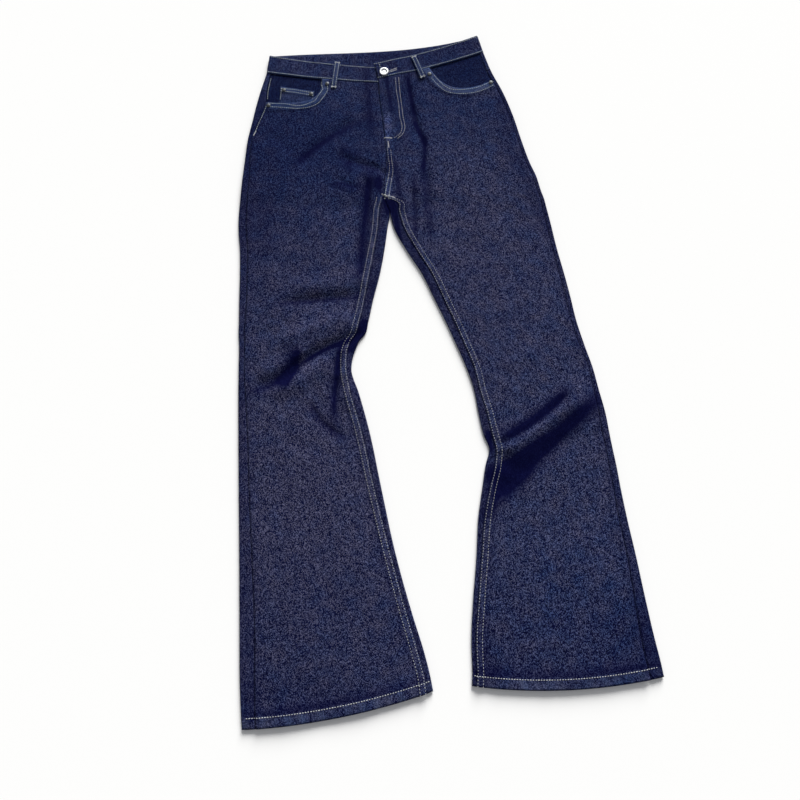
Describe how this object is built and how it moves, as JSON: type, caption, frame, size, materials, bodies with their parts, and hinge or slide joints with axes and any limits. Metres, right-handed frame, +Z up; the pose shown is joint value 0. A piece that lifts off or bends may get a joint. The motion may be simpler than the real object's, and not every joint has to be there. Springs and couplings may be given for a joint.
{
  "type": "wide leg jeans",
  "caption": "Wide leg denim jeans laid flat with the front up, flared below the knee, with scoop front pockets, coin pocket and button waist.",
  "frame": {"origin": "centre of the bounding box in plan, on the surface that the jeans lie on", "axes": "+Y from the hems towards the waist, +X towards the wearer's left leg, +Z up out of the front"},
  "size_m": [0.658, 1.1663, 0.0154],
  "materials": {
    "denim": "dark indigo twill denim, slightly slubby",
    "denim_facing": "unwashed dark indigo twill in the pocket openings",
    "metal": "nickel-plated shank button and rivets"
  },
  "bodies": {
    "root": {"front_right": "denim", "front_left": "denim", "back_right": "denim", "back_left": "denim", "yoke_right": "denim", "yoke_left": "denim", "waistband": "denim", "pocket_facing_right": "denim_facing", "pocket_facing_left": "denim_facing", "coin_pocket": "denim", "back_pocket_right": "denim", "back_pocket_left": "denim", "belt_loop_front_right": "denim", "belt_loop_front_left": "denim", "belt_loop_back_right": "denim", "belt_loop_back_centre": "denim", "belt_loop_back_left": "denim", "button": "metal", "rivet_right_waist": "metal", "rivet_right_side": "metal", "rivet_left_waist": "metal", "rivet_left_side": "metal", "rivet_coin_outer": "metal", "rivet_coin_inner": "metal"}
  },
  "joints": []
}
